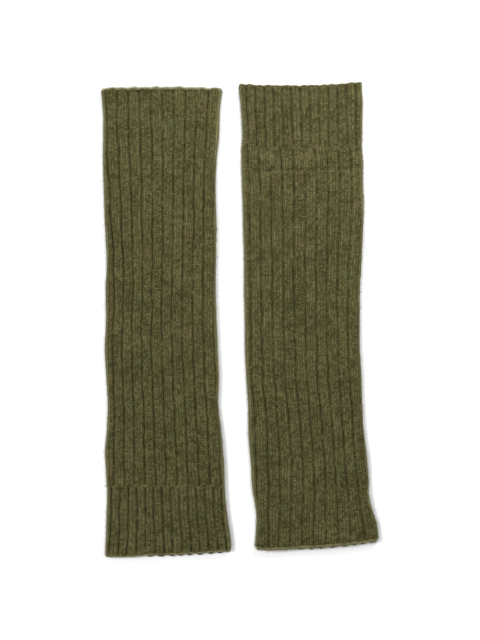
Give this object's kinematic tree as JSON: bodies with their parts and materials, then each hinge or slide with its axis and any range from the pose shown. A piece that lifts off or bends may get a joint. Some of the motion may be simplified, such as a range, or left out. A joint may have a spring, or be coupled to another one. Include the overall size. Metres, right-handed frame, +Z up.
{
  "type": "pair of arm warmers",
  "caption": "Ribbed wool arm warmers laid flat beside each other: knitted tubes in wide rib with narrow-rib cuffs and finished edge rows.",
  "frame": {"origin": "middle of the pair's footprint, on the surface it lies on", "axes": "+Z up from the surface, +Y along the arms towards the right warmer's cuff, +X across the pair from the left warmer to the right one"},
  "size_m": [0.2396, 0.408, 0.0059],
  "materials": {
    "body_rib": "matt brushed wool in heathered olive, wide rib",
    "cuff_rib": "matt brushed wool in heathered olive, narrow rib",
    "bound_edge": "matt wool, a bound-off row of chain stitches",
    "cast_on_edge": "matt wool, a cast-on row that follows the ribs"
  },
  "bodies": {
    "root": {"left_body": "body_rib", "left_cuff": "cuff_rib", "left_bound_edge": "bound_edge", "left_cast_on_edge": "cast_on_edge", "right_body": "body_rib", "right_cuff": "cuff_rib", "right_bound_edge": "bound_edge", "right_cast_on_edge": "cast_on_edge"}
  },
  "joints": []
}
